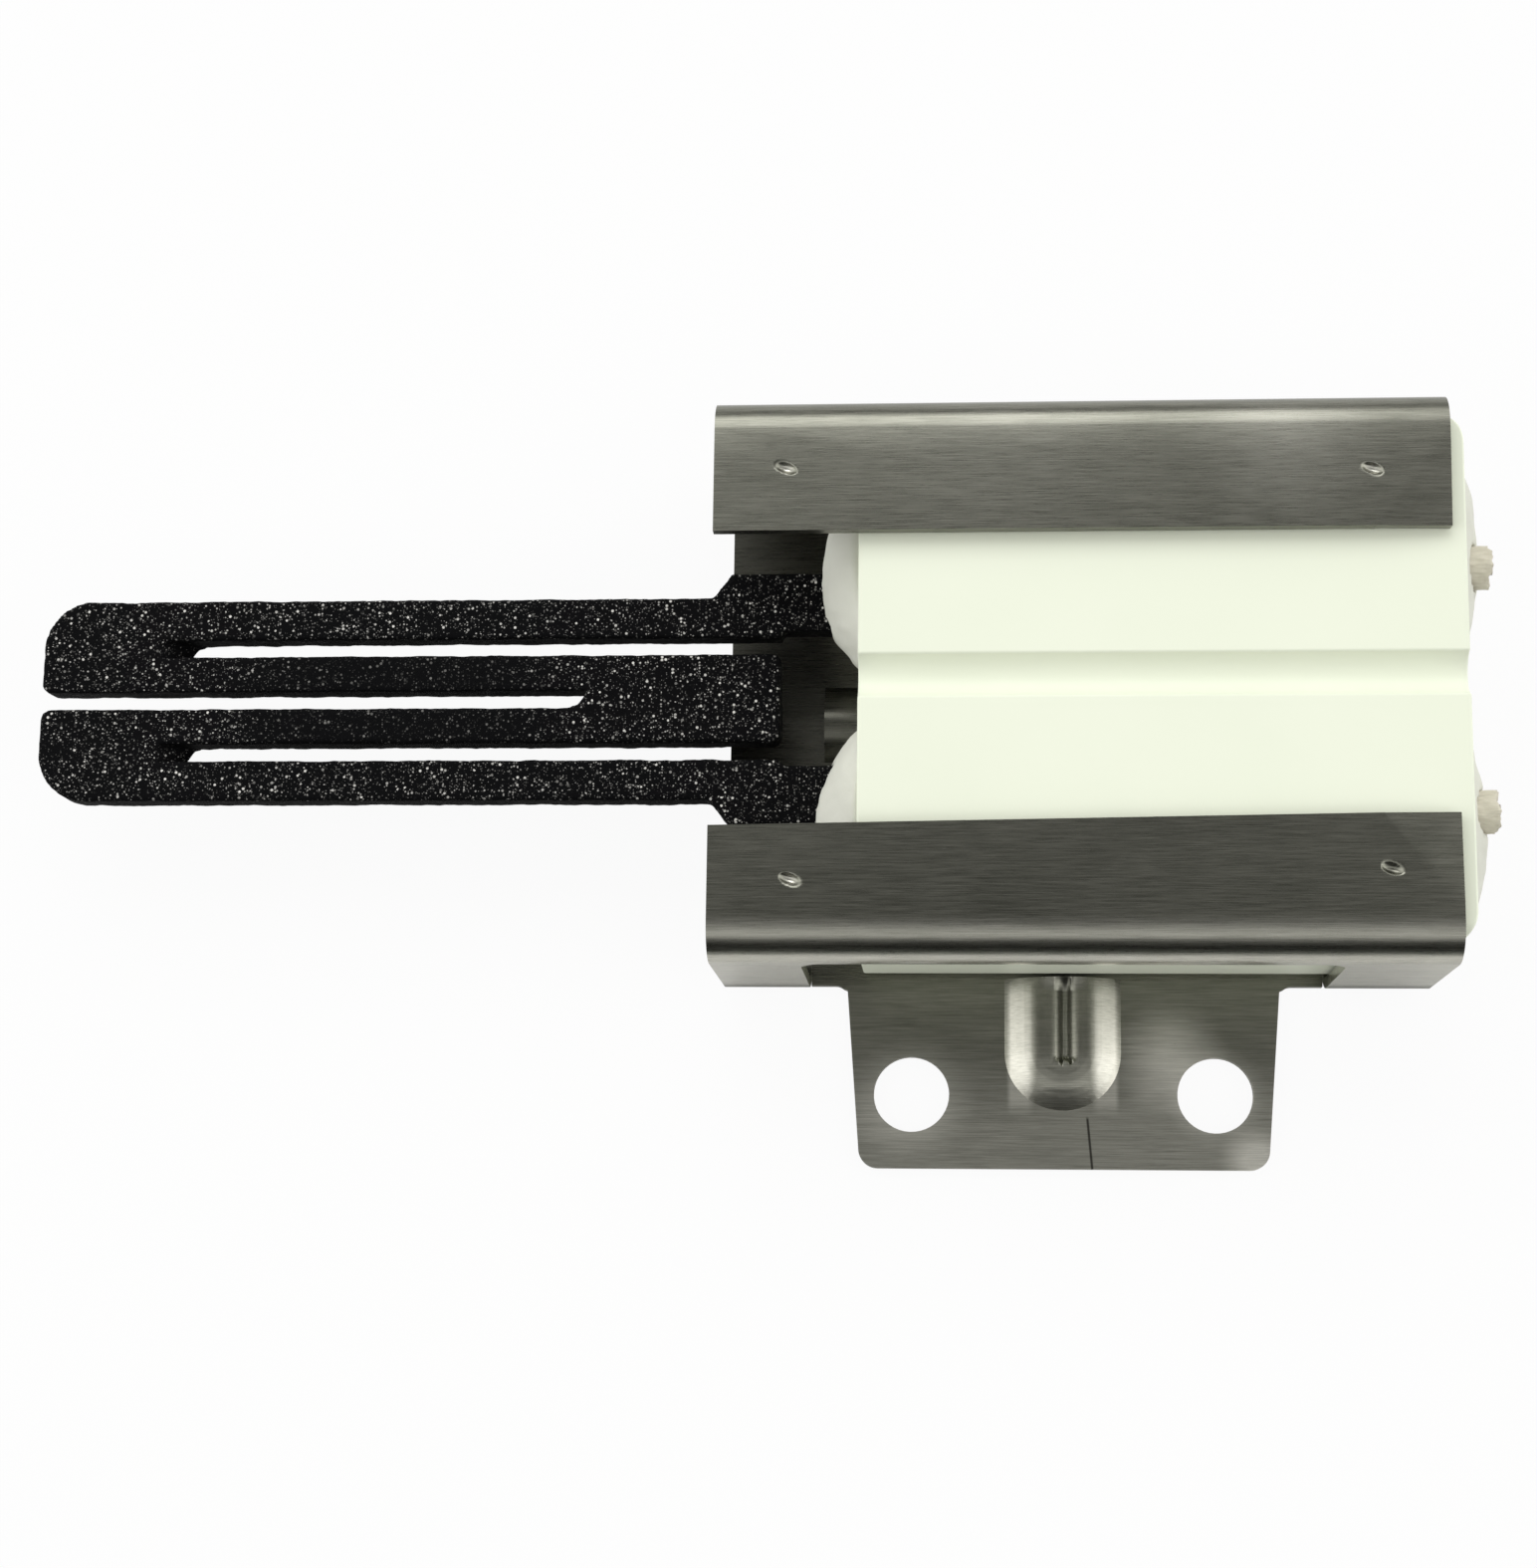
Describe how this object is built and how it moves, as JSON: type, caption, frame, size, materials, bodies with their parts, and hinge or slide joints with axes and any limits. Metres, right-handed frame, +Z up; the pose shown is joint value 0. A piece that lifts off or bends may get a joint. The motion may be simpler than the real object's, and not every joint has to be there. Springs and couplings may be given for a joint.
{
  "type": "hot surface igniter",
  "caption": "Flat hot surface igniter: slotted dark element potted in a white ceramic block, held in a folded stainless channel with a screw tab, leads cut short.",
  "frame": {"origin": "middle of the two screw holes, on the underside of the tab, which is the face it is screwed down on", "axes": "+X along the row of holes towards the leads (the hot tip is at -X), +Y from the tab towards the channel, +Z up from the mounting face"},
  "size_m": [0.0903, 0.0459, 0.0143],
  "materials": {
    "bracket_steel": "brushed along the channel",
    "block_ceramic": "unglazed, smooth",
    "silicon_carbide": "dark, sparkling grain",
    "cement": "matt, trowelled",
    "cap_metal": "sprayed, matt",
    "braze_metal": "as run",
    "lead_wire": "cut stranded wire",
    "glass_sleeve": "woven glass fibre"
  },
  "bodies": {
    "root": {"mounting_bracket": "bracket_steel", "ceramic_block": "block_ceramic", "igniter_element": "silicon_carbide", "near_front_cement": "cement", "far_front_cement": "cement", "near_rear_cement": "cement", "far_rear_cement": "cement", "near_end_cap": "cap_metal", "far_end_cap": "cap_metal", "near_braze": "braze_metal", "far_braze": "braze_metal", "near_lead_wire": "lead_wire", "far_lead_wire": "lead_wire", "near_lead_sleeve": "glass_sleeve", "far_lead_sleeve": "glass_sleeve"}
  },
  "joints": []
}
